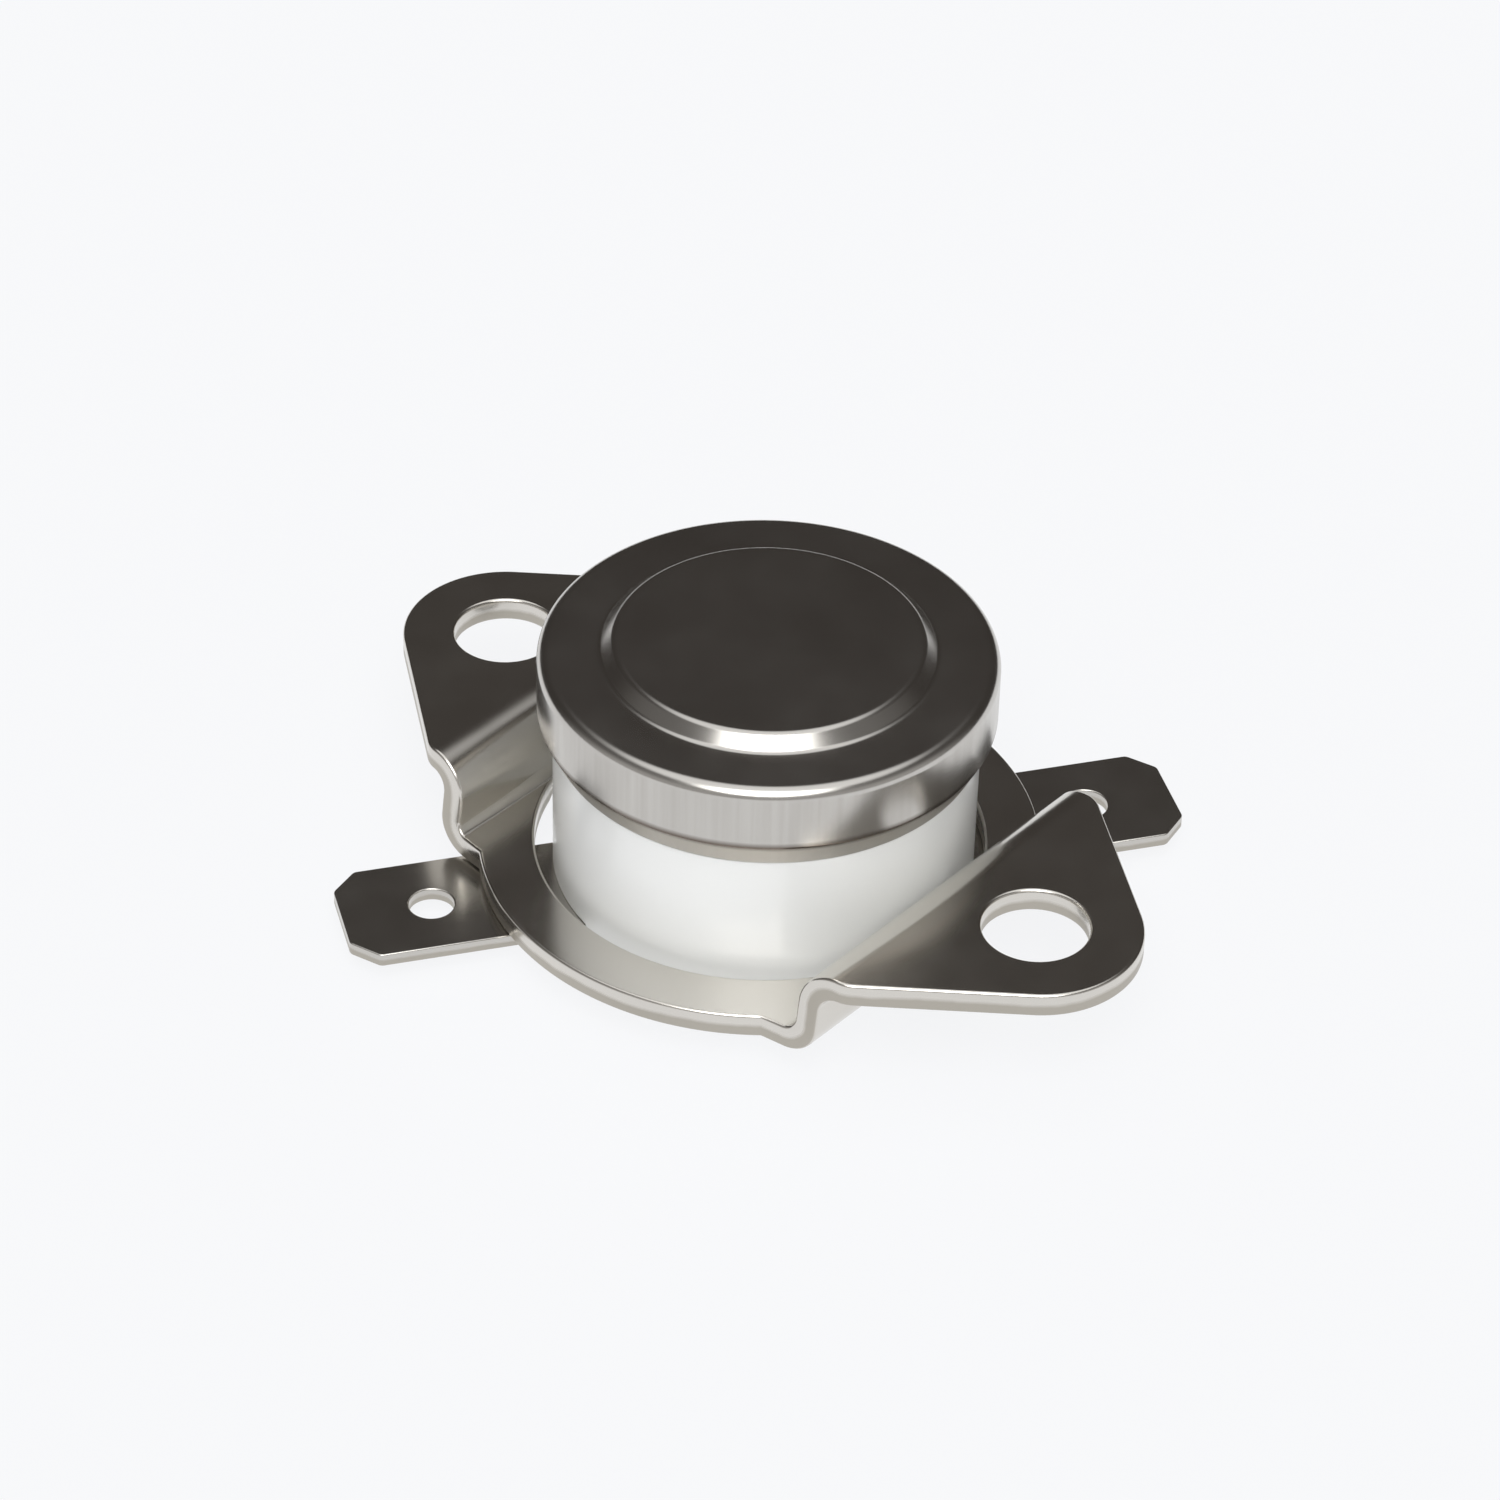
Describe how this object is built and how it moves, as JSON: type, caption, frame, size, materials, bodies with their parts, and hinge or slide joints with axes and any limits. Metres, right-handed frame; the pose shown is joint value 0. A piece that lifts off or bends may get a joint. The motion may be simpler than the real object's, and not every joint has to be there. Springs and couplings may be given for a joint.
{
  "type": "bimetal temperature switch",
  "caption": "Small round snap-disc temperature switch: drawn metal cap on a white ceramic body, flat side terminals and a loose, turning mounting bracket.",
  "frame": {"origin": "on the switch's axis, at the face of the ceramic body that the switch stands on", "axes": "+Z along the switch's axis and out of the sensing face, +X along the terminals"},
  "size_m": [0.0304, 0.0278, 0.0108],
  "materials": {
    "ceramic": "white, glazed",
    "cap_metal": "bright nickel plate, drawn",
    "guide_phenolic": "moulded, matt",
    "bimetal": "rolled strip, satin",
    "pin_ceramic": "unglazed",
    "spring_copper": "rolled copper alloy strip",
    "strip_brass": "rolled brass strip",
    "contact_silver": "silver, satin",
    "terminal_metal": "bright nickel plate, blanked",
    "rivet_metal": "nickel plate, headed",
    "bracket_metal": "bright nickel plate, blanked and folded"
  },
  "bodies": {
    "housing": {"ceramic_body": "ceramic", "cap": "cap_metal", "guide_plate": "guide_phenolic", "bimetal_disc": "bimetal", "contact_arm": "spring_copper", "contact_strip": "strip_brass", "fixed_contact": "contact_silver", "terminal_left": "terminal_metal", "terminal_right": "terminal_metal", "rivet_left": "rivet_metal", "rivet_right": "rivet_metal"},
    "bracket": {"bracket": "bracket_metal"},
    "pin": {"transfer_pin": "pin_ceramic"},
    "contact": {"moving_contact": "contact_silver"}
  },
  "joints": [
    {"name": "bracket_turn", "type": "hinge", "parent": "housing", "child": "bracket", "pos_m": [-0.00015, 0, 0.0018], "axis": [0, 0, 1], "continuous": true},
    {"name": "pin_travel", "type": "slide", "parent": "housing", "child": "pin", "axis": [0, 0, -1], "range_m": [0, 0.0003], "stiffness_N_per_m": 300, "deforming": ["bimetal_disc", "contact_arm"]},
    {"name": "contact_swing", "type": "hinge", "parent": "housing", "child": "contact", "pos_m": [-0.0034, 0, 0.00275], "axis": [0, 1, 0], "range_deg": [0, 5.2]}
  ],
  "couplings": [
    {"joint": "contact_swing", "follows": "pin_travel", "rad_per_m": 294.12}
  ]
}
